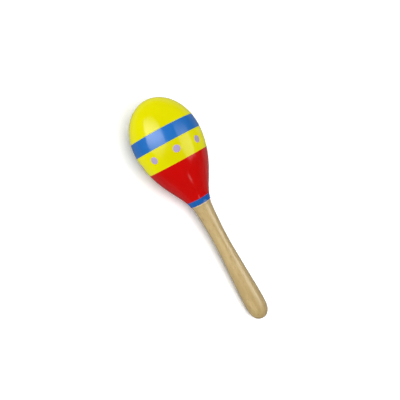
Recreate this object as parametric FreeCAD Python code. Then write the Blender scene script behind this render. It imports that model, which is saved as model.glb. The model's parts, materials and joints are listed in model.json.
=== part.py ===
import FreeCAD, Part
import math
import os

# One painted wooden maraca lying on a flat surface, in millimetres. It is drawn along the X axis with
# the tip of its head at the origin and its handle toward -X, then tilted until the head and the butt
# of the handle both touch the surface. A station is a distance from the tip along the axis.

LENGTH = 200.0
HEAD_RADIUS = 27.9
WIDEST_STATION = 35.35
NECK_END_STATION = 90.8
NECK_END_RADIUS = 8.85
NECK_END_SLOPE = 0.085
HEAD_PULL = 27.8  # how far the widest part keeps its direction before the cone begins
NECK_PULL = 10.1

WALL = 4.5
CAVITY_LOWER_LENGTH = 40.0
COAT = 0.15

JOINT_TONGUE_LENGTH = 4.0
JOINT_TONGUE_WALL = 2.2

COAT_STATIONS = {
    "coat_yellow_dome": (0.0, 25.5),
    "coat_blue_band": (25.5, 36.7),
    "coat_yellow_band": (36.7, 53.1),
    "coat_red_cone": (53.1, 86.2),
    "coat_blue_neck_ring": (86.2, NECK_END_STATION),
}

DOT_RADIUS = 2.8
DOT_THICKNESS = 0.1
# Each dot's turn from the top of the head, in degrees, and its station. They are dabbed by hand, so a
# little uneven.
DOT_SPOTS = (
    (7.3, 43.9),
    (48.2, 44.7),
    (97.5, 44.1),
    (144.0, 43.6),
    (191.8, 44.3),
    (236.5, 43.8),
    (281.0, 44.3),
    (325.8, 44.0),
)

TENON_RADIUS = 4.75
TENON_CHAMFER = 0.6
SHOULDER_RADIUS = 8.25
SHOULDER_ROUND = 0.7
SHOULDER_SLOPE = 0.33
WAIST_STATION = 126.0
WAIST_RADIUS = 6.18
SWELL_STATION = 181.0
SWELL_RADIUS = 8.45
SHOULDER_PULL = 5.0
WAIST_NEAR_PULL = 5.0
WAIST_FAR_PULL = 12.0
SWELL_NEAR_PULL = 5.0
SWELL_FAR_PULL = 7.5
BUTT_PULL = 9.6

PELLET_RADIUS = 2.25
PELLET_PITCH = 4.9
PELLET_ROWS = (4, 5, 6, 5, 4)
PELLET_WALL_GAP = 0.2
PELLET_BED_STATION = 43.0

TOLERANCE = 1e-6
EDGE_SAMPLES = 400
BISECTIONS = 40
MAX_TILT_DEG = 20.0

AXIS = FreeCAD.Vector(1, 0, 0)
CROSS = FreeCAD.Vector(0, 1, 0)
UP = FreeCAD.Vector(0, 0, 1)
TIP = FreeCAD.Vector(0, 0, 0)


def on_outline(station, radius):
    """The point of a turned outline at a station along the axis and a distance from it."""
    return FreeCAD.Vector(-station, 0, radius)


def pulled_curve(start, start_pull, end, end_pull):
    """A cubic curve between two points, with the vector that each end is pulled along."""
    curve = Part.BezierCurve()
    curve.setPoles([start, start + start_pull, end + end_pull, end])
    return curve.toShape()


def ellipse_edge(apex_station, full_radius, least_radius=0.0):
    """An ellipse centred at the head's widest part, from a least radius near its apex to its full radius."""
    apex = on_outline(apex_station, 0)
    side = on_outline(WIDEST_STATION, full_radius)
    ellipse = Part.Ellipse(apex, side, on_outline(WIDEST_STATION, 0))
    return Part.Arc(ellipse, math.asin(least_radius / full_radius), math.pi / 2).toShape()


def line(start, end):
    """A straight edge."""
    return Part.makeLine(start, end)


def turned(edges):
    """The solid swept by a closed outline when it turns about the axis."""
    wire = Part.Wire(Part.__sortEdges__(edges))
    face = Part.Face(wire)
    solid = face.revolve(TIP, AXIS, 360)
    if solid.ShapeType != "Solid":
        solid = Part.Solid(solid.Shells[0])
    return solid


def slab(start_station, end_station):
    """A disc wider than the head, which cuts a turned solid between two stations."""
    start = on_outline(start_station, 0)
    return Part.makeCylinder(2 * HEAD_RADIUS, end_station - start_station, start, -AXIS)


def cone_edge(inset):
    """The S-shaped side of the head from its widest part to the neck, moved inward by an inset."""
    start = on_outline(WIDEST_STATION, HEAD_RADIUS - inset)
    end = on_outline(NECK_END_STATION, NECK_END_RADIUS - inset)
    start_pull = FreeCAD.Vector(-HEAD_PULL, 0, 0)
    end_pull = FreeCAD.Vector(NECK_PULL, 0, NECK_PULL * NECK_END_SLOPE)
    return pulled_curve(start, start_pull, end, end_pull)


def head_form(inset):
    """The head as one solid form, moved inward by an inset."""
    end = on_outline(NECK_END_STATION, NECK_END_RADIUS - inset)
    dome = ellipse_edge(inset, HEAD_RADIUS - inset)
    foot = line(end, on_outline(NECK_END_STATION, 0))
    middle = line(on_outline(NECK_END_STATION, 0), on_outline(inset, 0))
    return turned([dome, cone_edge(inset), foot, middle])


def cavity_floor_station():
    """Where the lower half of the cavity has narrowed to the tenon's bore."""
    share = TENON_RADIUS / cavity_radius()
    return WIDEST_STATION + CAVITY_LOWER_LENGTH * math.sqrt(1 - share * share)


def cavity_radius():
    """The largest radius of the cavity."""
    return HEAD_RADIUS - WALL - COAT


def cavity_form():
    """The hollow that the pellets fly in, closed at its foot by the tenon."""
    floor = cavity_floor_station()
    top_edge = ellipse_edge(WALL + COAT, cavity_radius())
    low_edge = ellipse_edge(WIDEST_STATION + CAVITY_LOWER_LENGTH, cavity_radius(), TENON_RADIUS)
    foot = line(on_outline(floor, TENON_RADIUS), on_outline(floor, 0))
    middle = line(on_outline(floor, 0), on_outline(WALL + COAT, 0))
    return turned([top_edge, low_edge, foot, middle])


def joint_tongue():
    """The thin collar on the lower half that plugs into the upper half."""
    start = on_outline(WIDEST_STATION - JOINT_TONGUE_LENGTH, 0)
    return Part.makeCylinder(cavity_radius() + JOINT_TONGUE_WALL, JOINT_TONGUE_LENGTH, start, -AXIS)


def tenon_bore():
    """The hole through the neck that holds the tenon."""
    start = on_outline(cavity_floor_station(), 0)
    return Part.makeCylinder(TENON_RADIUS, NECK_END_STATION - cavity_floor_station(), start, -AXIS)


def make_head_shells():
    """The two hollow turned halves of the head, glued at the widest part."""
    wall = head_form(COAT).cut(cavity_form()).cut(tenon_bore())
    above = slab(0.0, WIDEST_STATION)
    tongue = wall.common(joint_tongue())
    upper = wall.common(above).cut(joint_tongue())
    lower = wall.cut(above).fuse(tongue).removeSplitter()
    return upper, lower


def make_coats():
    """The five painted bands as thin layers on the head."""
    skin = head_form(0).cut(head_form(COAT))
    return {name: skin.common(slab(*stations)) for name, stations in COAT_STATIONS.items()}


def make_dots():
    """The row of dabbed dots round the lower yellow band, as thin raised discs."""
    raised = head_form(-DOT_THICKNESS).cut(head_form(0))
    discs = []
    for turn, station in DOT_SPOTS:
        start = on_outline(station, 0)
        disc = Part.makeCylinder(DOT_RADIUS, 2 * HEAD_RADIUS, start, UP)
        disc.rotate(TIP, AXIS, turn)
        discs.append(raised.common(disc))
    return Part.makeCompound(discs)


def swell_edge():
    """The handle's side from its waist to its thickest part near the butt."""
    start = on_outline(WAIST_STATION, WAIST_RADIUS)
    end = on_outline(SWELL_STATION, SWELL_RADIUS)
    start_pull = FreeCAD.Vector(-WAIST_FAR_PULL, 0, 0)
    return pulled_curve(start, start_pull, end, FreeCAD.Vector(SWELL_NEAR_PULL, 0, 0))


def butt_edge():
    """The rounded end of the handle."""
    start = on_outline(SWELL_STATION, SWELL_RADIUS)
    start_pull = FreeCAD.Vector(-SWELL_FAR_PULL, 0, 0)
    return pulled_curve(start, start_pull, on_outline(LENGTH, 0), FreeCAD.Vector(0, 0, BUTT_PULL))


def make_handle():
    """The handle: a tenon, a shoulder under the neck, a slim waist and a swelling butt."""
    floor = cavity_floor_station()
    shoulder = on_outline(NECK_END_STATION, SHOULDER_RADIUS - SHOULDER_ROUND)
    rounded = on_outline(NECK_END_STATION + SHOULDER_ROUND, SHOULDER_RADIUS)
    waist = on_outline(WAIST_STATION, WAIST_RADIUS)
    grip_pull = FreeCAD.Vector(-SHOULDER_PULL, 0, -SHOULDER_PULL * SHOULDER_SLOPE)
    corner = SHOULDER_ROUND * math.sqrt(0.5)
    round_middle = shoulder + FreeCAD.Vector(corner - SHOULDER_ROUND, 0, corner)
    edges = [
        line(on_outline(floor, 0), on_outline(floor, TENON_RADIUS - TENON_CHAMFER)),
        line(
            on_outline(floor, TENON_RADIUS - TENON_CHAMFER),
            on_outline(floor + TENON_CHAMFER, TENON_RADIUS),
        ),
        line(on_outline(floor + TENON_CHAMFER, TENON_RADIUS), on_outline(NECK_END_STATION, TENON_RADIUS)),
        line(on_outline(NECK_END_STATION, TENON_RADIUS), shoulder),
        Part.Arc(shoulder, round_middle, rounded).toShape(),
        pulled_curve(rounded, grip_pull, waist, FreeCAD.Vector(WAIST_NEAR_PULL, 0, 0)),
        swell_edge(),
        butt_edge(),
        line(on_outline(LENGTH, 0), on_outline(floor, 0)),
    ]
    return turned(edges)


def reach(edges, tilt):
    """How far the outline's underside reaches below the axis at the tip when the axis is tilted."""
    furthest = 0.0
    for edge in edges:
        for point in edge.discretize(EDGE_SAMPLES):
            furthest = max(furthest, point.z * math.cos(tilt) - point.x * math.sin(tilt))
    return furthest


def resting_tilt():
    """The tilt at which the head and the butt touch the same flat surface."""
    low = 0.0
    high = math.radians(MAX_TILT_DEG)
    for _ in range(BISECTIONS):
        tilt = (low + high) / 2
        if reach([cone_edge(0)], tilt) > reach([swell_edge(), butt_edge()], tilt):
            low = tilt
        else:
            high = tilt
    return low


def resting_placement(whole):
    """Puts the part on z = 0 with the middle of its bounding box over the origin."""
    tilt = resting_tilt()
    turn = FreeCAD.Placement(TIP, FreeCAD.Rotation(CROSS, -math.degrees(tilt)))
    laid = whole.copy()
    laid.Placement = turn
    box = laid.optimalBoundingBox(True, False)
    height = reach([cone_edge(0)], tilt)
    offset = FreeCAD.Vector(-(box.XMin + box.XMax) / 2, 0, height)
    return FreeCAD.Placement(offset, FreeCAD.Rotation(CROSS, -math.degrees(tilt)))


def pellet_room(cavity, x, y):
    """The lowest and highest centre heights of a pellet on one vertical line through the cavity."""
    wall = cavity.Shells[0]
    needed = PELLET_RADIUS + PELLET_WALL_GAP
    middle = cavity.CenterOfMass.z
    ends = []
    for direction in (-1, 1):
        inside = 0.0
        outside = HEAD_RADIUS
        for _ in range(BISECTIONS):
            step = (inside + outside) / 2
            point = FreeCAD.Vector(x, y, middle + direction * step)
            clear = cavity.isInside(point, TOLERANCE, False)
            if clear and Part.Vertex(point).distToShape(wall)[0] >= needed:
                inside = step
            else:
                outside = step
        ends.append(middle + direction * inside)
    return ends


def pellet_lines(placement):
    """The x and y of each pellet's vertical line: a close-packed patch over the cavity's lowest part."""
    centre_x = placement.multVec(on_outline(PELLET_BED_STATION, -cavity_radius())).x
    places = []
    for row, count in enumerate(PELLET_ROWS):
        y = (row - (len(PELLET_ROWS) - 1) / 2) * PELLET_PITCH * math.sqrt(0.75)
        for column in range(count):
            places.append((centre_x + (column - (count - 1) / 2) * PELLET_PITCH, y))
    return places


def make_pellets(placement):
    """The loose pellets resting on the cavity's lowest part, each with its free height above it."""
    cavity = cavity_form()
    cavity.Placement = placement
    pellets = {}
    for index, (x, y) in enumerate(pellet_lines(placement), start=1):
        low, high = pellet_room(cavity, x, y)
        ball = Part.makeSphere(PELLET_RADIUS, FreeCAD.Vector(x, y, low))
        pellets[f"pellet_{index:02d}"] = (ball, high - low)
    return pellets


def make_fixed_pieces():
    """Every piece that is glued or painted on, by name, drawn along the X axis."""
    upper, lower = make_head_shells()
    pieces = {"head_upper_shell": upper, "head_lower_shell": lower, "handle": make_handle()}
    pieces.update(make_coats())
    pieces["lilac_dots"] = make_dots()
    return pieces


def main():
    os.makedirs("parts", exist_ok=True)
    pieces = make_fixed_pieces()
    placement = resting_placement(head_form(0).fuse(pieces["handle"]))
    for name, shape in pieces.items():
        shape.Placement = placement.multiply(shape.Placement)
    for name, (ball, travel) in make_pellets(placement).items():
        pieces[name] = ball
        print(f"{name} can rise {travel:.3f} mm")
    for name, shape in pieces.items():
        shape.exportStep(f"parts/{name}.step")


main()
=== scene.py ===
import json
import math
import random

import bmesh
import bpy
from mathutils import Matrix, Vector, noise


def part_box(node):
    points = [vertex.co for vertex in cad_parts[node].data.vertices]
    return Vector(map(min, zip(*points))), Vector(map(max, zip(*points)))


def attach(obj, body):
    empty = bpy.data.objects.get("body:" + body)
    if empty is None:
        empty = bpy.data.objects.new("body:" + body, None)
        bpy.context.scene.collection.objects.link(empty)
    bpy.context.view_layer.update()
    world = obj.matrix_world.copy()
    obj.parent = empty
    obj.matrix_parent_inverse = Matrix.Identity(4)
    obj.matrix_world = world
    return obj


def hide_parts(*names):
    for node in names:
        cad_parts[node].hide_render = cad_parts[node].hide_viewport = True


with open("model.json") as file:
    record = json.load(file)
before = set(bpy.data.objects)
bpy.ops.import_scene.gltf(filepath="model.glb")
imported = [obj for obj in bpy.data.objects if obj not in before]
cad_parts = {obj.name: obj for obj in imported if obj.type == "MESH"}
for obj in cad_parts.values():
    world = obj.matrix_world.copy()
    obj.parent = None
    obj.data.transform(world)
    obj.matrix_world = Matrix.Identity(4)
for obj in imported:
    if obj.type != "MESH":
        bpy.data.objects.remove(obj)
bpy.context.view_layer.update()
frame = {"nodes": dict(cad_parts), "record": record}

MM = 0.001

# The maraca's outline in metres. A station is a distance from the tip along the maraca's axis.
LENGTH = 200 * MM
HEAD_RADIUS = 27.9 * MM
WIDEST_STATION = 35.35 * MM
NECK_STATION = 90.8 * MM
NECK_RADIUS = 8.85 * MM
NECK_SLOPE = 0.085
HEAD_PULL = 27.8 * MM
NECK_PULL = 10.1 * MM
COAT = 0.15 * MM

SHOULDER_RADIUS = 8.25 * MM
SHOULDER_ROUND = 0.7 * MM
SHOULDER_SLOPE = 0.33
SHOULDER_PULL = 5.0 * MM
WAIST_STATION = 126.0 * MM
WAIST_RADIUS = 6.18 * MM
WAIST_NEAR_PULL = 5.0 * MM
WAIST_FAR_PULL = 12.0 * MM
SWELL_STATION = 181.0 * MM
SWELL_RADIUS = 8.45 * MM
SWELL_NEAR_PULL = 5.0 * MM
SWELL_FAR_PULL = 7.5 * MM
BUTT_PULL = 9.6 * MM
TENON_STATION = 74.51 * MM
TENON_RADIUS = 4.75 * MM
TENON_CHAMFER = 0.6 * MM

# The stations where one colour of paint meets the next.
DOME_EDGE = 25.5 * MM
BLUE_EDGE = 36.7 * MM
YELLOW_EDGE = 53.1 * MM
RED_EDGE = 86.2 * MM

DOT_RADIUS = 2.8 * MM
DOT_HEIGHT = 0.1 * MM
# Each dot's turn from the top of the head, in degrees, and its station in millimetres.
DOT_SPOTS = (
    (7.3, 43.9),
    (48.2, 44.7),
    (97.5, 44.1),
    (144.0, 43.6),
    (191.8, 44.3),
    (236.5, 43.8),
    (281.0, 44.3),
    (325.8, 44.0),
)

HEAD_SEGMENTS = 288
HANDLE_SEGMENTS = 192

random.seed(8)


# ---------------------------------------------------------------- outline

def bezier(p0, p1, p2, p3, t):
    """A point of a cubic Bezier curve in the plane of station and radius."""
    s = 1 - t
    return tuple(
        s * s * s * a + 3 * s * s * t * b + 3 * s * t * t * c + t * t * t * d
        for a, b, c, d in zip(p0, p1, p2, p3)
    )


def bezier_run(p0, p1, p2, p3, count):
    """Evenly parametrised points of a cubic Bezier curve, both ends included."""
    return [bezier(p0, p1, p2, p3, i / (count - 1)) for i in range(count)]


def cone_point(t):
    """A point of the head's S-shaped side, from its widest part to the neck."""
    return bezier(
        (WIDEST_STATION, HEAD_RADIUS),
        (WIDEST_STATION + HEAD_PULL, HEAD_RADIUS),
        (NECK_STATION - NECK_PULL, NECK_RADIUS + NECK_PULL * NECK_SLOPE),
        (NECK_STATION, NECK_RADIUS),
        t,
    )


def head_radius(station):
    """The radius of the finished head at a station."""
    if station <= WIDEST_STATION:
        share = min(1.0, (WIDEST_STATION - station) / WIDEST_STATION)
        return HEAD_RADIUS * math.sqrt(1 - share * share)
    low, high = 0.0, 1.0
    for _ in range(30):
        middle = (low + high) / 2
        if cone_point(middle)[0] < station:
            low = middle
        else:
            high = middle
    return cone_point(low)[1]


def head_normal(station):
    """The outward normal of the head's outline at a station, as (along the station, along the radius)."""
    step = 0.05 * MM
    ahead = min(station + step, NECK_STATION)
    behind = max(station - step, 0.0)
    rise = (head_radius(ahead) - head_radius(behind)) / (ahead - behind)
    size = math.hypot(rise, 1.0)
    return -rise / size, 1.0 / size


# ---------------------------------------------------------------- place in the row frame

GRIP = next(m for m in frame["record"]["mounts"] if m["name"] == "hand_grip")
TO_TIP = Vector(GRIP["axis"]).normalized()
TIP = Vector(GRIP["pos_m"]) + TO_TIP * WAIST_STATION


def axis_matrix():
    """From the maraca's own axes to the row frame. Z runs from the tip to the butt, and X faces up."""
    along = -TO_TIP
    across = Vector((0, 1, 0))
    upward = across.cross(along)
    rows = Matrix((upward, across, along)).transposed()
    return Matrix.Translation(TIP) @ rows.to_4x4()


AXES = axis_matrix()


def in_place(station, radius, angle):
    """A point of the row frame from its station, its distance from the axis and its angle from the top."""
    return AXES @ Vector((radius * math.cos(angle), radius * math.sin(angle), station))


# ---------------------------------------------------------------- mesh making

PIECES = []


def new_piece(name, bm, body, slot, material, *nodes):
    """A smooth-shaded piece from a bmesh, riding on a body and standing for CAD nodes."""
    bmesh.ops.recalc_face_normals(bm, faces=bm.faces)
    mesh = bpy.data.meshes.new(name)
    bm.to_mesh(mesh)
    bm.free()
    mesh.shade_smooth()
    mesh.materials.append(material)
    piece = bpy.data.objects.new(name, mesh)
    bpy.context.scene.collection.objects.link(piece)
    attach(piece, body)
    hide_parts(*nodes)
    PIECES.append(piece)


def ring_faces(bm, ring, following):
    """Faces between two rings of vertices, either of which may be a single pole."""
    count = max(len(ring), len(following))
    for i in range(count):
        j = (i + 1) % count
        if len(ring) == 1:
            bm.faces.new((ring[0], following[i], following[j]))
        elif len(following) == 1:
            bm.faces.new((ring[i], following[0], ring[j]))
        else:
            bm.faces.new((ring[i], following[i], following[j], ring[j]))


def turned(rows, segments, closed):
    """A bmesh turned about the maraca's axis. A row gives (station, radius) for an angle.
    A pole has no radius."""
    bm = bmesh.new()
    rings = []
    for row in rows:
        first = row(0.0)
        if first[1] < 1e-9:
            rings.append([bm.verts.new(in_place(first[0], 0.0, 0.0))])
            continue
        ring = []
        for i in range(segments):
            angle = 2 * math.pi * i / segments
            ring.append(bm.verts.new(in_place(*row(angle), angle)))
        rings.append(ring)
    for ring, following in zip(rings, rings[1:]):
        ring_faces(bm, ring, following)
    if closed:
        ring_faces(bm, rings[-1], rings[0])
    return bm


# ---------------------------------------------------------------- paint coats

EDGE_WOBBLE = 0.07 * MM
EDGE_BLEED = 0.03 * MM
WOBBLE_REACH = 2.5 * MM
LIP_ROUND = 0.06 * MM
RIDGE_HEIGHT = 0.015 * MM
RIDGE_PLACE = 0.16 * MM
RIDGE_WIDTH = 0.09 * MM
EDGE_ROWS = (0.0, 0.01, 0.025, 0.045, 0.07, 0.1, 0.13, 0.16, 0.2, 0.26, 0.34, 0.5)
ROW_STEP = 0.8 * MM
DOME_ROWS = 90
YELLOW_SINK = 0.04 * MM
BLUE_SINK = 0.02 * MM
RING_SINK = -0.03 * MM


def edge_wobble(seed):
    """How far a hand-masked edge of paint strays along the axis, as a function of the angle."""
    draw = random.Random(seed)
    waves = [(k, draw.uniform(0, 2 * math.pi), draw.uniform(0.3, 1.0) / k) for k in (1, 2, 3, 5)]

    def wobble(angle):
        slow = sum(size * math.cos(k * angle + phase) for k, phase, size in waves)
        place = Vector((6 * math.cos(angle), 6 * math.sin(angle), seed))
        return EDGE_WOBBLE * slow + EDGE_BLEED * noise.noise(place)

    return wobble


WOBBLES = {edge: edge_wobble(i + 1) for i, edge in enumerate((DOME_EDGE, BLUE_EDGE, YELLOW_EDGE, RED_EDGE))}


def lip(distance):
    """How far the surface of a coat lies under its full height at a distance from its masked edge."""
    ridge = RIDGE_HEIGHT * math.exp(-(((distance - RIDGE_PLACE) / RIDGE_WIDTH) ** 2))
    if distance >= LIP_ROUND:
        return -ridge
    gap = LIP_ROUND - distance
    return LIP_ROUND - math.sqrt(LIP_ROUND * LIP_ROUND - gap * gap) - ridge


def coat_stations(start, end):
    """Stations along a band, close together near both of its edges."""
    near = [mm * MM for mm in EDGE_ROWS]
    inner_start, inner_end = start + near[-1], end - near[-1]
    count = max(2, round((inner_end - inner_start) / ROW_STEP))
    middle = [inner_start + (inner_end - inner_start) * i / count for i in range(1, count)]
    return [start + d for d in near] + middle + [end - d for d in reversed(near)]


def coat_row(station, start, end, inset):
    """One row of a coat, moved with whichever of its band's edges is near."""
    along, outward = head_normal(station)
    base = (station - along * inset, head_radius(station) - outward * inset)
    start_hold = max(0.0, 1 - (station - start) / WOBBLE_REACH) if start in WOBBLES else 0.0
    end_hold = max(0.0, 1 - (end - station) / WOBBLE_REACH) if end in WOBBLES else 0.0

    def row(angle):
        shift = 0.0
        if start_hold:
            shift += start_hold * WOBBLES[start](angle)
        if end_hold:
            shift += end_hold * WOBBLES[end](angle)
        return base[0] + shift * outward, base[1] - shift * along

    return row


def coat(start, end, sink, start_lip, end_lip):
    """A thin closed coat between two stations. sink is how far it lies under the finished outline."""
    outer, inner = [], []
    for station in coat_stations(start, end):
        depth = sink
        if start_lip:
            depth += lip(station - start)
        if end_lip:
            depth += lip(end - station)
        outer.append(coat_row(station, start, end, depth))
        inner.append(coat_row(station, start, end, COAT))
    return turned(outer + inner[::-1], HEAD_SEGMENTS, closed=True)


def dome_coat(end, sink):
    """The coat over the tip, which closes in a pole outside and inside."""
    rows = [lambda angle: (sink, 0.0)]
    last = math.acos(1 - end / WIDEST_STATION)
    stations = [WIDEST_STATION * (1 - math.cos(last * i / DOME_ROWS)) for i in range(1, DOME_ROWS)]
    stations.append(end)
    rows += [coat_row(station, 0.0, end, sink) for station in stations]
    rows += [coat_row(station, 0.0, end, COAT) for station in reversed(stations)]
    rows.append(lambda angle: (COAT, 0.0))
    return turned(rows, HEAD_SEGMENTS, closed=False)


# ---------------------------------------------------------------- dots

DOT_RINGS = 14
DOT_SEGMENTS = 56
DOT_UNEVEN = 0.05
DOT_FOOT = 0.03 * MM


def dot_height(share):
    """The height of a dab at a share of its radius: a low middle, a fuller rim and a rounded edge."""
    return DOT_HEIGHT * (0.72 + 0.28 * share ** 3) * math.sqrt(max(0.0, 1 - share ** 8))


def dot_point(middle, distance, turn, height):
    """A point on or over the yellow band, at a distance and a turn from a dot's middle (angle, station)."""
    outward = head_normal(middle[1])[1]
    station = middle[1] + distance * math.cos(turn) * outward
    radius = head_radius(station)
    angle = middle[0] + distance * math.sin(turn) / radius
    here_along, here_outward = head_normal(station)
    lift = height - YELLOW_SINK
    return in_place(station + here_along * lift, radius + here_outward * lift, angle)


def add_dot(bm, layer, index, spot):
    """One dab of paint, a little out of round, with its foot just inside the yellow coat. The layer
    holds how thin the paint is, from the full rim to the middle that the brush pressed out."""
    middle = (-math.radians(spot[0]), spot[1] * MM)

    def outline(turn):
        place = Vector((1.3 * math.cos(turn), 1.3 * math.sin(turn), 7.0 * index))
        return DOT_RADIUS * (1 + DOT_UNEVEN * noise.noise(place))

    def vertex(distance, turn, height, thinness):
        made = bm.verts.new(dot_point(middle, distance, turn, height))
        made[layer] = thinness
        return made

    turns = [2 * math.pi * i / DOT_SEGMENTS for i in range(DOT_SEGMENTS)]
    rings = [[vertex(0, 0, dot_height(0), 1.0)]]
    for step in range(1, DOT_RINGS + 1):
        share = math.sin(step / DOT_RINGS * math.pi / 2)
        rings.append([vertex(share * outline(t), t, dot_height(share), 1 - share) for t in turns])
    rings.append([vertex(outline(t), t, -DOT_FOOT, 0.0) for t in turns])
    rings.append([vertex(0, 0, -DOT_FOOT, 0.0)])
    for ring, following in zip(rings, rings[1:]):
        ring_faces(bm, ring, following)


def dots():
    """All the dots of the ring."""
    bm = bmesh.new()
    layer = bm.verts.layers.float.new("thinness")
    for index, spot in enumerate(DOT_SPOTS):
        add_dot(bm, layer, index, spot)
    return bm


# ---------------------------------------------------------------- handle

SANDING = 0.05 * MM
SANDING_LENGTH = 14 * MM
TENON_ROWS = 8
ROUND_ROWS = 10
GRIP_ROWS = 60
SWELL_ROWS = 80
BUTT_ROWS = 60


def handle_outline():
    """(station, radius) points of the handle, from the end of its tenon to its butt."""
    points = [
        (TENON_STATION, 0.0),
        (TENON_STATION, TENON_RADIUS - TENON_CHAMFER),
        (TENON_STATION + TENON_CHAMFER, TENON_RADIUS),
    ]
    tenon_length = NECK_STATION - TENON_STATION - TENON_CHAMFER
    for i in range(1, TENON_ROWS + 1):
        share = i / TENON_ROWS
        points.append((TENON_STATION + TENON_CHAMFER + share * tenon_length, TENON_RADIUS))
    points.append((NECK_STATION, (TENON_RADIUS + SHOULDER_RADIUS - SHOULDER_ROUND) / 2))
    for i in range(ROUND_ROWS + 1):
        turn = math.pi / 2 * i / ROUND_ROWS
        station = NECK_STATION + SHOULDER_ROUND * (1 - math.cos(turn))
        points.append((station, SHOULDER_RADIUS - SHOULDER_ROUND * (1 - math.sin(turn))))
    shoulder = points[-1]
    grip = bezier_run(
        shoulder,
        (shoulder[0] + SHOULDER_PULL, shoulder[1] - SHOULDER_PULL * SHOULDER_SLOPE),
        (WAIST_STATION - WAIST_NEAR_PULL, WAIST_RADIUS),
        (WAIST_STATION, WAIST_RADIUS),
        GRIP_ROWS,
    )
    swell = bezier_run(
        (WAIST_STATION, WAIST_RADIUS),
        (WAIST_STATION + WAIST_FAR_PULL, WAIST_RADIUS),
        (SWELL_STATION - SWELL_NEAR_PULL, SWELL_RADIUS),
        (SWELL_STATION, SWELL_RADIUS),
        SWELL_ROWS,
    )
    butt = bezier_run(
        (SWELL_STATION, SWELL_RADIUS),
        (SWELL_STATION + SWELL_FAR_PULL, SWELL_RADIUS),
        (LENGTH, BUTT_PULL),
        (LENGTH, 0.0),
        BUTT_ROWS,
    )
    return points + grip[1:] + swell[1:] + butt[1:]


def handle_row(station, radius):
    """One row of the handle, made a little uneven by sanding."""

    def row(angle):
        if station <= NECK_STATION + SHOULDER_ROUND or radius < 1e-9:
            return station, radius
        place = Vector((math.cos(angle), math.sin(angle), station / SANDING_LENGTH))
        wear = SANDING * (0.5 + 0.5 * noise.noise(place)) * min(1.0, radius / SWELL_RADIUS)
        return station, radius - max(0.0, wear)

    return row


def handle():
    """The whole turned handle with its tenon."""
    return turned([handle_row(*point) for point in handle_outline()], HANDLE_SEGMENTS, closed=False)


# ---------------------------------------------------------------- pellets

BEAD_ROWS = 22
BEAD_SEGMENTS = 36
BEAD_SEAM = 0.03 * MM
BEAD_SEAM_WIDTH = 0.12
BEAD_GATE = 0.08 * MM
BEAD_GATE_WIDTH = 0.18


def bead(node):
    """A moulded bead with a seam round it and a small pit where it was cut from its runner."""
    low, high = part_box(node)
    centre = (low + high) / 2
    radius = min(high - low) / 2
    draw = random.Random(node)
    about_x = Matrix.Rotation(draw.uniform(0, math.pi), 3, "X")
    turn = about_x @ Matrix.Rotation(draw.uniform(0, math.pi), 3, "Y")
    bm = bmesh.new()
    rings = []
    for i in range(BEAD_ROWS + 1):
        lean = math.pi * i / BEAD_ROWS
        seam = math.exp(-(((lean - math.pi / 2) / BEAD_SEAM_WIDTH) ** 2))
        gate = math.exp(-((lean / BEAD_GATE_WIDTH) ** 2))
        size = radius - BEAD_SEAM * (1 - seam) - BEAD_GATE * gate
        if i in (0, BEAD_ROWS):
            rings.append([bm.verts.new(centre + turn @ Vector((0, 0, size * math.cos(lean))))])
            continue
        ring = []
        for j in range(BEAD_SEGMENTS):
            angle = 2 * math.pi * j / BEAD_SEGMENTS
            flat = Vector((math.cos(angle), math.sin(angle), 0)) * size * math.sin(lean)
            ring.append(bm.verts.new(centre + turn @ (flat + Vector((0, 0, size * math.cos(lean))))))
        rings.append(ring)
    for ring, following in zip(rings, rings[1:]):
        ring_faces(bm, ring, following)
    return bm


# ---------------------------------------------------------------- materials

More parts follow.
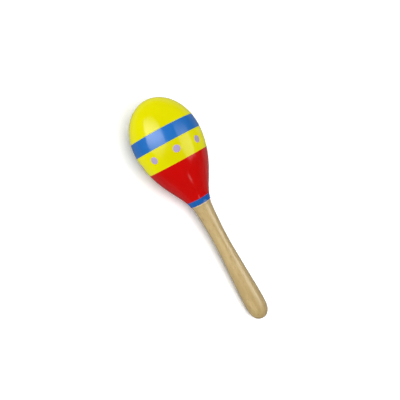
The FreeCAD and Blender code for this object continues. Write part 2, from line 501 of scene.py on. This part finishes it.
class Nodes:
    """A material's nodes, with a Principled BSDF and coordinates along the maraca's own axes."""

    def __init__(self, name):
        self.material = bpy.data.materials.new(name)
        self.material.use_nodes = True
        self.tree = self.material.node_tree
        self.shader = self.tree.nodes["Principled BSDF"]
        inverse = AXES.inverted()
        place = self.add("ShaderNodeTexCoord").outputs["Object"]
        self.axes = self.add("ShaderNodeMapping")
        self.axes.inputs["Location"].default_value = inverse.to_translation()
        self.axes.inputs["Rotation"].default_value = inverse.to_euler("XYZ")
        self.link(place, self.axes.inputs["Vector"])
        self.place = self.axes.outputs["Vector"]

    def add(self, kind):
        return self.tree.nodes.new(kind)

    def link(self, output, socket):
        self.tree.links.new(output, socket)

    def scaled(self, scale, offset=(0, 0, 0), rotation=(0, 0, 0)):
        """The coordinates moved, turned and stretched."""
        node = self.add("ShaderNodeMapping")
        node.inputs["Location"].default_value = offset
        node.inputs["Rotation"].default_value = rotation
        node.inputs["Scale"].default_value = scale
        self.link(self.place, node.inputs["Vector"])
        return node.outputs["Vector"]

    def noise(self, vector, scale, detail=2.0, roughness=0.5, distortion=0.0):
        node = self.add("ShaderNodeTexNoise")
        node.inputs["Scale"].default_value = scale
        node.inputs["Detail"].default_value = detail
        node.inputs["Roughness"].default_value = roughness
        node.inputs["Distortion"].default_value = distortion
        self.link(vector, node.inputs["Vector"])
        return node.outputs["Fac"]

    def rings(self, vector, scale, distortion, detail, detail_scale):
        node = self.add("ShaderNodeTexWave")
        node.wave_type = "RINGS"
        node.rings_direction = "Z"
        node.wave_profile = "SAW"
        node.inputs["Scale"].default_value = scale
        node.inputs["Distortion"].default_value = distortion
        node.inputs["Detail"].default_value = detail
        node.inputs["Detail Scale"].default_value = detail_scale
        self.link(vector, node.inputs["Vector"])
        return node.outputs["Fac"]

    def ranged(self, value, low, high, to_low, to_high):
        """A value moved from one range to another and held inside it."""
        node = self.add("ShaderNodeMapRange")
        node.inputs["From Min"].default_value = low
        node.inputs["From Max"].default_value = high
        node.inputs["To Min"].default_value = to_low
        node.inputs["To Max"].default_value = to_high
        self.link(value, node.inputs["Value"])
        return node.outputs["Result"]

    def mixed(self, factor, first, second):
        """A colour between two colours, each a tuple or an output."""
        node = self.add("ShaderNodeMix")
        node.data_type = "RGBA"
        self.link(factor, node.inputs["Factor"])
        for colour, index in ((first, 6), (second, 7)):
            if isinstance(colour, tuple):
                node.inputs[index].default_value = (*colour, 1.0)
            else:
                self.link(colour, node.inputs[index])
        return node.outputs[2]

    def times(self, first, second):
        node = self.add("ShaderNodeMath")
        node.operation = "MULTIPLY"
        self.link(first, node.inputs[0])
        if isinstance(second, float):
            node.inputs[1].default_value = second
        else:
            self.link(second, node.inputs[1])
        return node.outputs["Value"]

    def bumped(self, height, distance, before=None):
        """A normal from a height in metres, on top of an earlier one."""
        node = self.add("ShaderNodeBump")
        node.inputs["Distance"].default_value = distance
        self.link(height, node.inputs["Height"])
        if before is not None:
            self.link(before, node.inputs["Normal"])
        return node.outputs["Normal"]


def enamel(name, colour, thin_colour, specular=0.5, diffuse_roughness=0.0):
    """Glossy brushed enamel over turned wood, with a faint pooling of its colour."""
    nodes = Nodes(name)
    pooling = nodes.ranged(nodes.noise(nodes.place, 55.0, 3.0), 0.35, 0.7, 0.0, 1.0)
    nodes.link(nodes.mixed(pooling, colour, thin_colour), nodes.shader.inputs["Base Color"])
    nodes.shader.inputs["Diffuse Roughness"].default_value = diffuse_roughness
    enamel_gloss(nodes, specular)
    return nodes.material


def enamel_gloss(nodes, specular):
    """The shine of the enamel and the small unevenness of its surface."""
    smear = nodes.noise(nodes.scaled((220, 220, 40)), 1.0, 2.0)
    nodes.link(nodes.ranged(smear, 0.3, 0.7, 0.1, 0.17), nodes.shader.inputs["Roughness"])
    sag = nodes.bumped(nodes.noise(nodes.place, 130.0, 1.0), 0.02 * MM)
    grain = nodes.bumped(nodes.noise(nodes.scaled((1600, 1600, 60)), 1.0, 1.0), 0.003 * MM, sag)
    peel = nodes.bumped(nodes.noise(nodes.place, 850.0, 1.0), 0.004 * MM, grain)
    nodes.link(peel, nodes.shader.inputs["Normal"])
    nodes.shader.inputs["Specular IOR Level"].default_value = specular


def dabbed_enamel(name, colour, pressed_colour):
    """The dots' paint, with the yellow showing faintly through where the brush pressed it out."""
    nodes = Nodes(name)
    thinness = nodes.add("ShaderNodeAttribute")
    thinness.attribute_name = "thinness"
    streaks = nodes.noise(nodes.place, 900.0, 2.0)
    pressed = nodes.ranged(thinness.outputs["Fac"], 0.25, 0.75, 0.0, 1.0)
    patchy = nodes.times(pressed, nodes.ranged(streaks, 0.35, 0.6, 0.5, 1.0))
    nodes.link(nodes.mixed(patchy, colour, pressed_colour), nodes.shader.inputs["Base Color"])
    enamel_gloss(nodes, 0.4)
    return nodes.material


def wood_colour(nodes, light, dark, pore):
    """Pale close-grained wood: growth rings cut at a slant, fine fibres and short dark flecks."""
    heart = nodes.scaled((1, 1, 0.16), offset=(0.038, 0.021, 0.0), rotation=(0.05, 0.08, 0))
    rings = nodes.rings(heart, 95.0, 1.4, 2.0, 30.0)
    ringed = nodes.mixed(nodes.ranged(rings, 0.0, 1.0, 0.0, 0.75), light, dark)
    figure = nodes.noise(nodes.scaled((330, 330, 110), offset=(3, 1, 2)), 1.0, 3.0, 0.6)
    figured = nodes.mixed(nodes.ranged(figure, 0.4, 0.65, 0.0, 0.6), ringed, dark)
    fibre = nodes.noise(nodes.scaled((800, 800, 45)), 1.0, 4.0, 0.65)
    fibred = nodes.mixed(nodes.ranged(fibre, 0.42, 0.7, 0.0, 0.6), figured, dark)
    fleck = nodes.noise(nodes.scaled((1500, 1500, 240)), 1.0, 1.0)
    flecked = nodes.mixed(nodes.ranged(fleck, 0.64, 0.74, 0.0, 0.6), fibred, pore)
    return flecked, fibre, fleck


def lacquered_wood():
    """The handle: clear lacquer over pale wood, its colour lighter in a thin band just below the shoulder's
    rounded edge.
    """
    nodes = Nodes("lacquered pale wood")
    colour, fibre, fleck = wood_colour(nodes, (0.69, 0.52, 0.24), (0.53, 0.375, 0.147), (0.36, 0.22, 0.085))
    split = nodes.add("ShaderNodeSeparateXYZ")
    nodes.link(nodes.place, split.inputs["Vector"])
    # The base colour is made lighter in a thin band just below the shoulder.
    edge = nodes.ranged(split.outputs["Z"], NECK_STATION + 0.5 * MM, NECK_STATION + 1.1 * MM, 0.8, 0.0)
    nodes.link(nodes.mixed(edge, colour, (0.77, 0.59, 0.35)), nodes.shader.inputs["Base Color"])
    nodes.link(nodes.ranged(fibre, 0.3, 0.7, 0.36, 0.48), nodes.shader.inputs["Roughness"])
    wave = nodes.bumped(nodes.noise(nodes.scaled((300, 300, 80)), 1.0, 2.0), 0.05 * MM)
    grain = nodes.bumped(fibre, 0.006 * MM, wave)
    pores = nodes.bumped(nodes.ranged(fleck, 0.66, 0.74, 1.0, 0.0), 0.006 * MM, grain)
    nodes.link(pores, nodes.shader.inputs["Normal"])
    nodes.link(wave, nodes.shader.inputs["Coat Normal"])
    nodes.shader.inputs["Coat Weight"].default_value = 1.0
    nodes.shader.inputs["Coat Roughness"].default_value = 0.16
    return nodes.material


def bare_wood():
    """The inside of the head: unfinished wood with the marks of the turning tool."""
    nodes = Nodes("bare turned wood")
    colour, fibre, _ = wood_colour(nodes, (0.66, 0.52, 0.31), (0.54, 0.4, 0.21), (0.38, 0.25, 0.12))
    nodes.link(colour, nodes.shader.inputs["Base Color"])
    nodes.link(nodes.ranged(fibre, 0.3, 0.7, 0.6, 0.8), nodes.shader.inputs["Roughness"])
    marks = nodes.bumped(nodes.noise(nodes.scaled((20, 20, 1400)), 1.0, 1.0), 0.03 * MM)
    nodes.link(nodes.bumped(fibre, 0.02 * MM, marks), nodes.shader.inputs["Normal"])
    return nodes.material


def bead_plastic():
    """The pellets: plain off-white moulded beads, scuffed by rattling."""
    nodes = Nodes("scuffed bead plastic")
    scuff = nodes.noise(nodes.place, 1400.0, 4.0, 0.7)
    worn = nodes.ranged(scuff, 0.4, 0.7, 0.0, 1.0)
    nodes.link(nodes.mixed(worn, (0.72, 0.69, 0.6), (0.6, 0.56, 0.47)), nodes.shader.inputs["Base Color"])
    nodes.link(nodes.ranged(scuff, 0.3, 0.7, 0.3, 0.6), nodes.shader.inputs["Roughness"])
    nodes.link(nodes.bumped(scuff, 0.01 * MM), nodes.shader.inputs["Normal"])
    return nodes.material


# ---------------------------------------------------------------- the maraca

YELLOW = enamel(
    "yellow enamel", (0.775, 0.745, 0.0), (0.755, 0.71, 0.0), specular=0.33, diffuse_roughness=0.8
)
BLUE = enamel("blue enamel", (0.021, 0.176, 0.565), (0.019, 0.161, 0.53))
DEEP_BLUE = enamel("deep blue enamel", (0.015, 0.128, 0.46), (0.013, 0.118, 0.43))
RED = enamel("red enamel", (0.66, 0.004, 0.003), (0.62, 0.004, 0.003), specular=0.4)
LILAC = dabbed_enamel("lilac enamel", (0.5, 0.36, 0.75), (0.43, 0.44, 0.48))


def make_maraca():
    """Every shown piece, each riding on its CAD body."""
    body = "maraca"
    dome = dome_coat(DOME_EDGE, YELLOW_SINK)
    new_piece("dome_paint", dome, body, "yellow_paint", YELLOW, "coat_yellow_dome")
    blue = coat(DOME_EDGE, BLUE_EDGE, BLUE_SINK, True, True)
    new_piece("blue_band_paint", blue, body, "blue_paint", BLUE, "coat_blue_band")
    yellow = coat(BLUE_EDGE, YELLOW_EDGE, YELLOW_SINK, False, False)
    new_piece("dotted_band_paint", yellow, body, "yellow_paint", YELLOW, "coat_yellow_band")
    red = coat(YELLOW_EDGE, RED_EDGE, 0.0, True, False)
    new_piece("cone_paint", red, body, "red_paint", RED, "coat_red_cone")
    ring = coat(RED_EDGE, NECK_STATION, RING_SINK, True, True)
    new_piece("neck_ring_paint", ring, body, "dark_blue_paint", DEEP_BLUE, "coat_blue_neck_ring")
    new_piece("dabbed_dots", dots(), body, "lilac_paint", LILAC, "lilac_dots")
    new_piece("turned_handle", handle(), body, "lacquered_wood", lacquered_wood(), "handle")
    inside = bare_wood()
    for node in ("head_upper_shell", "head_lower_shell"):
        mesh = frame["nodes"][node]
        for material_slot in mesh.material_slots:
            material_slot.material = inside
    plastic = bead_plastic()
    for node in sorted(frame["nodes"]):
        if node.startswith("pellet_"):
            name = node.replace("pellet", "bead")
            new_piece(name, bead(node), node, "pellet_plastic", plastic, node)


make_maraca()


# ---------------------------------------------------------------- studio

FLOOR_SIZE = 6.0
FLOOR_GLOW = 0.12
SKY = 0.25
KEY_POWER = 10.0
KEY_WIDTH = 0.4
TOP_WIDTH = 0.3
FILL_WIDTH = 0.6
LIGHT_LENGTH = 0.6
KEY_LEAN = math.radians(16)
TOP_POWER = 8.0
TOP_LEAN = math.radians(4)
FILL_POWER = 0.9
BOX_ASIDE = 0.716
BOX_UP = 0.698
PAPER_GLOW_HEIGHT = 0.2 * MM
CAMERA_FROM_TIP = 0.0879
CAMERA_SIDE = -0.0005
CAMERA_HEIGHT = 0.3657
CAMERA_UP = Vector((0.8793, -0.4762, 0)).normalized()
CAMERA_RIGHT = Vector((-0.4762, -0.8793, 0)).normalized()
SKYWARD = Vector((0, 0, 1))
FOCAL_LENGTH = 38.7
HEAD_MIDDLE = AXES @ Vector((0, 0, WIDEST_STATION))


def stage_mesh(name, corners, material):
    """A flat sheet of the studio, from its corners."""
    mesh = bpy.data.meshes.new(name)
    mesh.from_pydata([tuple(c) for c in corners], [], [tuple(range(len(corners)))])
    mesh.materials.append(material)
    sheet = bpy.data.objects.new(name, mesh)
    bpy.context.scene.collection.objects.link(sheet)
    return sheet


def paper():
    """Matt white paper, lit a little from behind as on a light table."""
    nodes = Nodes("white paper")
    faint = nodes.noise(nodes.place, 9.0, 3.0)
    nodes.link(nodes.mixed(faint, (0.97, 0.97, 0.97), (0.96, 0.96, 0.96)), nodes.shader.inputs["Base Color"])
    nodes.shader.inputs["Roughness"].default_value = 0.9
    nodes.shader.inputs["Specular IOR Level"].default_value = 0.1
    nodes.shader.inputs["Emission Color"].default_value = (1, 1, 1, 1)
    nodes.shader.inputs["Emission Strength"].default_value = FLOOR_GLOW
    return nodes.material


def make_floor():
    """A plain white sheet, well past the edge of any view."""
    half = FLOOR_SIZE / 2
    corners = [Vector((x, y, 0)) for x, y in ((-half, -half), (half, -half), (half, half), (-half, half))]
    floor = stage_mesh("floor", corners, paper())
    floor.visible_glossy = False
    return floor


def show_only_in_gloss(sheet):
    sheet.visible_camera = False
    sheet.visible_diffuse = False
    sheet.visible_shadow = False
    sheet.visible_transmission = False
    sheet.visible_volume_scatter = False


def glow(name, radiance, hot_spot=None, spread=None):
    """An even glow, or one that falls off from a hot spot. Its spreads are along the sheet's X and Y."""
    material = bpy.data.materials.new(name)
    material.use_nodes = True
    tree = material.node_tree
    tree.nodes.clear()
    output = tree.nodes.new("ShaderNodeOutputMaterial")
    light = tree.nodes.new("ShaderNodeEmission")
    light.inputs["Strength"].default_value = radiance
    tree.links.new(light.outputs["Emission"], output.inputs["Surface"])
    if hot_spot is None:
        return material
    place = tree.nodes.new("ShaderNodeTexCoord")
    scaled = tree.nodes.new("ShaderNodeMapping")
    scaled.vector_type = "TEXTURE"
    scaled.inputs["Location"].default_value = (*hot_spot, 0)
    scaled.inputs["Scale"].default_value = (*spread, 1)
    tree.links.new(place.outputs["Object"], scaled.inputs["Vector"])
    square = tree.nodes.new("ShaderNodeVectorMath")
    square.operation = "DOT_PRODUCT"
    tree.links.new(scaled.outputs["Vector"], square.inputs[0])
    tree.links.new(scaled.outputs["Vector"], square.inputs[1])
    value = square.outputs["Value"]
    for operation, number in (("MULTIPLY", -1.0), ("EXPONENT", 0.0), ("MULTIPLY", radiance)):
        node = tree.nodes.new("ShaderNodeMath")
        node.operation = operation
        tree.links.new(value, node.inputs[0])
        node.inputs[1].default_value = number
        value = node.outputs["Value"]
    tree.links.new(value, light.inputs["Strength"])
    return material


def make_panel(name, lean, outline, material):
    """A soft box one metre from the head that shows only in the gloss. lean is its direction, to the
    camera's right and upward, and its outline is in metres from where that line meets it."""
    toward = lean[0] * CAMERA_RIGHT + lean[1] * SKYWARD
    across = lean[1] * CAMERA_RIGHT - lean[0] * SKYWARD
    sheet = stage_mesh(name, [Vector((x, y, 0)) for x, y in outline], material)
    turn = Matrix((across, CAMERA_UP, toward)).transposed().to_4x4()
    sheet.matrix_world = Matrix.Translation(HEAD_MIDDLE + toward) @ turn
    show_only_in_gloss(sheet)


def make_floor_glow():
    """What the gloss sees of the lit paper round the maraca: brighter by the head and on the right."""
    sheets = (
        ("gloss_head_right", 0.28, 0.0, -0.125, 0.22, 0.0),
        ("gloss_handle_right", 0.13, -0.2, -0.125, 0.0, 0.0),
        ("gloss_head_left", 0.2, 0.04, 0.0, 0.3, 0.3),
        ("gloss_handle_left", 0.12, -0.3, 0.0, 0.04, 0.3),
    )
    for name, radiance, x0, y0, x1, y1 in sheets:
        corners = [Vector((x, y, PAPER_GLOW_HEIGHT)) for x, y in ((x0, y0), (x1, y0), (x1, y1), (x0, y1))]
        show_only_in_gloss(stage_mesh(name, corners, glow(name, radiance)))


def make_camera():
    """Straight above, with the maraca's head to the upper left."""
    data = bpy.data.cameras.new("camera")
    data.sensor_width = 36
    data.lens = FOCAL_LENGTH
    camera = bpy.data.objects.new("camera", data)
    bpy.context.scene.collection.objects.link(camera)
    turn = Matrix((CAMERA_RIGHT, CAMERA_UP, SKYWARD)).transposed().to_4x4()
    camera.matrix_world = Matrix.Translation((TIP.x - CAMERA_FROM_TIP, CAMERA_SIDE, CAMERA_HEIGHT)) @ turn
    bpy.context.scene.camera = camera


def make_light(name, direction, width, length, power):
    """A soft light one metre from the head's middle, with its length along the maraca."""
    data = bpy.data.lights.new(name, "AREA")
    data.shape = "RECTANGLE"
    data.size = width
    data.size_y = length
    data.energy = power
    light = bpy.data.objects.new(name, data)
    bpy.context.scene.collection.objects.link(light)
    toward = direction.normalized()
    along = (TO_TIP - TO_TIP.dot(toward) * toward).normalized()
    turn = Matrix((along.cross(toward), along, toward)).transposed().to_4x4()
    light.matrix_world = Matrix.Translation(HEAD_MIDDLE + toward) @ turn
    light.visible_camera = False
    light.visible_glossy = False
    return light


def light_only(light, lit):
    """Keeps a light to some of the objects."""
    receivers = bpy.data.collections.new(light.name + " receivers")
    for piece in lit:
        receivers.objects.link(piece)
    light.light_linking.receiver_collection = receivers


def leaning(angle, aside):
    """A direction that leans from straight up toward a side."""
    return math.sin(angle) * aside.normalized() + math.cos(angle) * SKYWARD


def make_lights(floor):
    """A key that throws the shadow on the paper, a top light and a fill for the maraca alone, and
    soft boxes that show in the gloss."""
    key_way = leaning(KEY_LEAN, CAMERA_RIGHT - 0.1 * CAMERA_UP)
    key = make_light("key", key_way, KEY_WIDTH, LIGHT_LENGTH, KEY_POWER)
    light_only(key, [floor])
    top = make_light("top", leaning(TOP_LEAN, -CAMERA_RIGHT), TOP_WIDTH, LIGHT_LENGTH, TOP_POWER)
    fill_way = 0.2 * CAMERA_UP - 0.86 * CAMERA_RIGHT + 0.5 * SKYWARD
    fill = make_light("fill", fill_way, FILL_WIDTH, LIGHT_LENGTH, FILL_POWER)
    for light in (top, fill):
        light.data.use_shadow = False
        light_only(light, PIECES)
    left_box = (
        (-0.42, 0.62), (-0.26, 0.05), (-0.26, -0.5), (-0.1, -0.74), (0.3, -0.86), (0.62, -0.6),
        (0.92, -0.42), (1.0, -0.19), (0.7, 0.42), (0.48, 0.75), (0.02, 0.95),
    )
    left_glow = glow("left soft box", 6.2, (0.1, 0.03), (1.0, 0.54))
    make_panel("left_soft_box", (-BOX_ASIDE, BOX_UP), left_box, left_glow)
    right_box = (
        (-0.3, 0.6), (-0.16, 0.03), (-0.1, -0.2), (0.05, -0.35), (0.24, -0.335), (0.39, -0.19), (0.6, -0.08),
        (0.6, 0.12), (0.56, 0.5), (0.66, 0.95), (0.5, 1.15), (-0.3, 1.1),
    )
    right_glow = glow("right soft box", 3.0, (0.5, 0.1), (1.1, 0.56))
    make_panel("right_soft_box", (BOX_ASIDE, BOX_UP), right_box, right_glow)
    window = ((0.02, -1.1), (0.23, -1.1), (0.2, -0.9), (0.05, -0.92))
    make_panel("small_window", (BOX_ASIDE, BOX_UP), window, glow("small window", 2.2))
    make_floor_glow()


def make_sky():
    """An even white surround that lights the scene but doesn't show in the gloss."""
    world = bpy.data.worlds.new("sky")
    world.use_nodes = True
    background = world.node_tree.nodes["Background"]
    background.inputs["Color"].default_value = (1, 1, 1, 1)
    background.inputs["Strength"].default_value = SKY
    world.cycles_visibility.glossy = False
    bpy.context.scene.world = world


make_camera()
make_lights(make_floor())
make_sky()
bpy.context.scene.view_settings.view_transform = "Standard"
